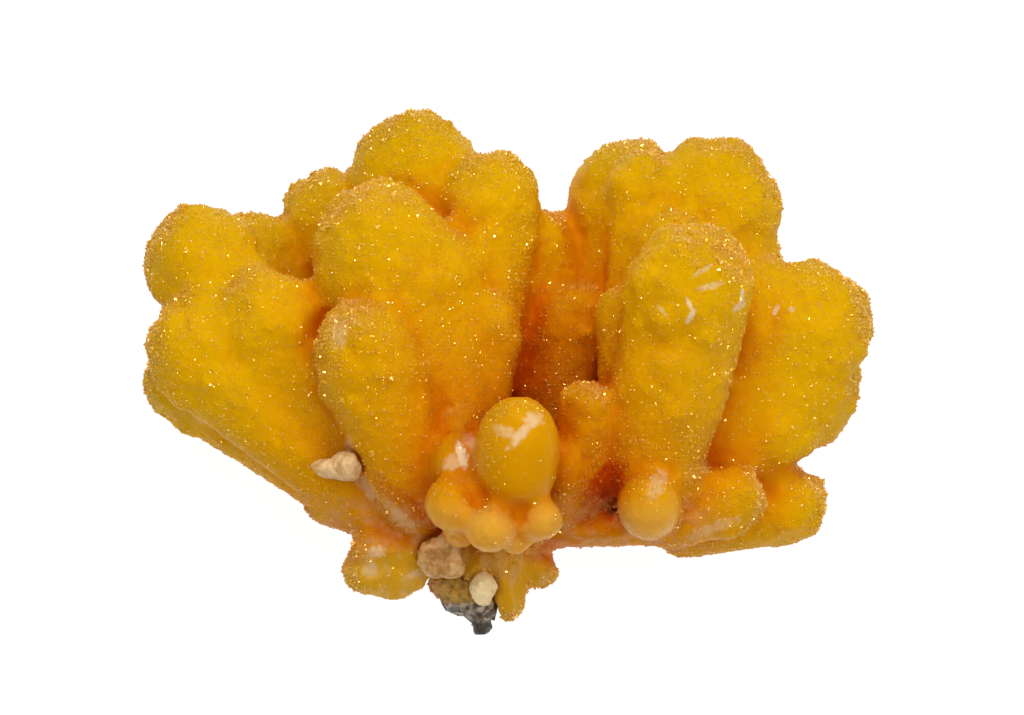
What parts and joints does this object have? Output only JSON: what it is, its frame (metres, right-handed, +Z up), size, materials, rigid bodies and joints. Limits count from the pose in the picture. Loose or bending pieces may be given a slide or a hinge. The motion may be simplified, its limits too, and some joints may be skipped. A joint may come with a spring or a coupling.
{
  "type": "mimetite specimen",
  "caption": "Spray of blunt, club-shaped yellow-orange mimetite fingers with a sugary skin of small crystals, grown from a narrow root with scraps of dark matrix and pale calcite",
  "frame": {"origin": "on the resting surface, under the middle of the specimen as it lies on its back", "axes": "+X runs to the right across the spray, its longest extent; +Y runs from the root to the tips of the tallest fingers; +Z points up, away from the resting surface, its shortest extent"},
  "size_m": [0.0481, 0.0345, 0.0218],
  "materials": {
    "mimetite": "waxy and translucent, under a sugary skin of small glittering crystals",
    "matrix": "rough, brown to grey-black, with a dull metallic glint",
    "calcite": "granular, cream-white, half matt"
  },
  "bodies": {
    "root": {"mimetite_spray": "mimetite", "matrix_scrap": "matrix", "calcite_wedge": "calcite", "calcite_knot": "calcite", "calcite_tip": "calcite"}
  },
  "joints": []
}
